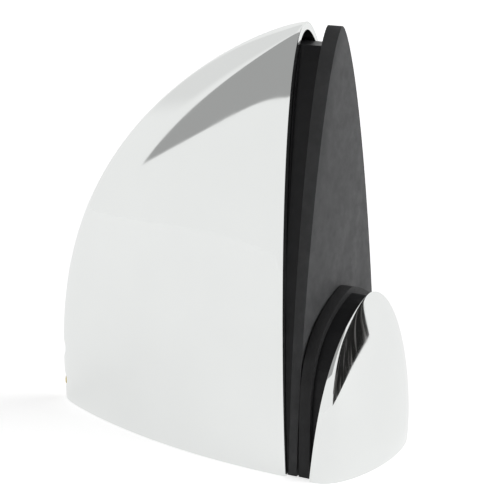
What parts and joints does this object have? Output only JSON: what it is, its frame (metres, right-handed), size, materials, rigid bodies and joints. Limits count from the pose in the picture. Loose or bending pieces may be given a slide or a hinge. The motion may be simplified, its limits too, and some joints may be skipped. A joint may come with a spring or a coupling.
{
  "type": "shelf clamp bracket",
  "caption": "Two-jaw clamp bracket for a glass or wood shelf: a tall beak-shaped chromed jaw with a wall plate and a low moving jaw drawn in by a sleeve nut.",
  "frame": {"origin": "midway between the two wall screw holes, on the wall plane", "axes": "+Z out of the wall, +X from the fixed jaw towards the moving jaw, Y across the jaws"},
  "size_m": [0.0597, 0.0274, 0.0653],
  "materials": {
    "chrome_plate": "bright chrome plate on a zinc casting",
    "black_plastic": "moulded black plastic",
    "grey_pad": "matt dark grey soft pad",
    "black_pad": "matt black soft pad",
    "zinc_steel": "zinc-plated steel",
    "ground_steel": "ground bright steel",
    "spring_steel": "dark phosphated spring steel",
    "yellow_zinc": "yellow passivated zinc plate",
    "brass": "plain brass"
  },
  "bodies": {
    "fixed_jaw": {"tall_shell": "chrome_plate", "fixed_core": "black_plastic", "fixed_pad": "grey_pad", "wall_plate": "zinc_steel", "core_screws": "zinc_steel", "thrust_plate": "zinc_steel", "thrust_washer": "brass"},
    "lock": {"lock_screw": "yellow_zinc"},
    "drive": {"sleeve_nut": "zinc_steel", "retaining_clip": "spring_steel"},
    "moving_jaw": {"low_shell": "chrome_plate", "moving_core": "black_plastic", "moving_pad": "black_pad", "jaw_stud": "zinc_steel", "guide_pins": "ground_steel", "moving_core_screws": "zinc_steel"}
  },
  "joints": [
    {"name": "drive_turn", "type": "hinge", "parent": "fixed_jaw", "child": "drive", "pos_m": [0, 0, 0.0088], "axis": [1, 0, 0], "range_deg": [-7200, 0]},
    {"name": "jaw_slide", "type": "slide", "parent": "fixed_jaw", "child": "moving_jaw", "axis": [1, 0, 0], "range_m": [0, 0.016]},
    {"name": "lock_turn", "type": "hinge", "parent": "fixed_jaw", "child": "lock", "pos_m": [-0.03, 0, 0.0034], "axis": [1, 0, 0], "range_deg": [-1080, 0]}
  ],
  "couplings": [
    {"joint": "drive_turn", "follows": "jaw_slide", "rad_per_m": -7854}
  ]
}
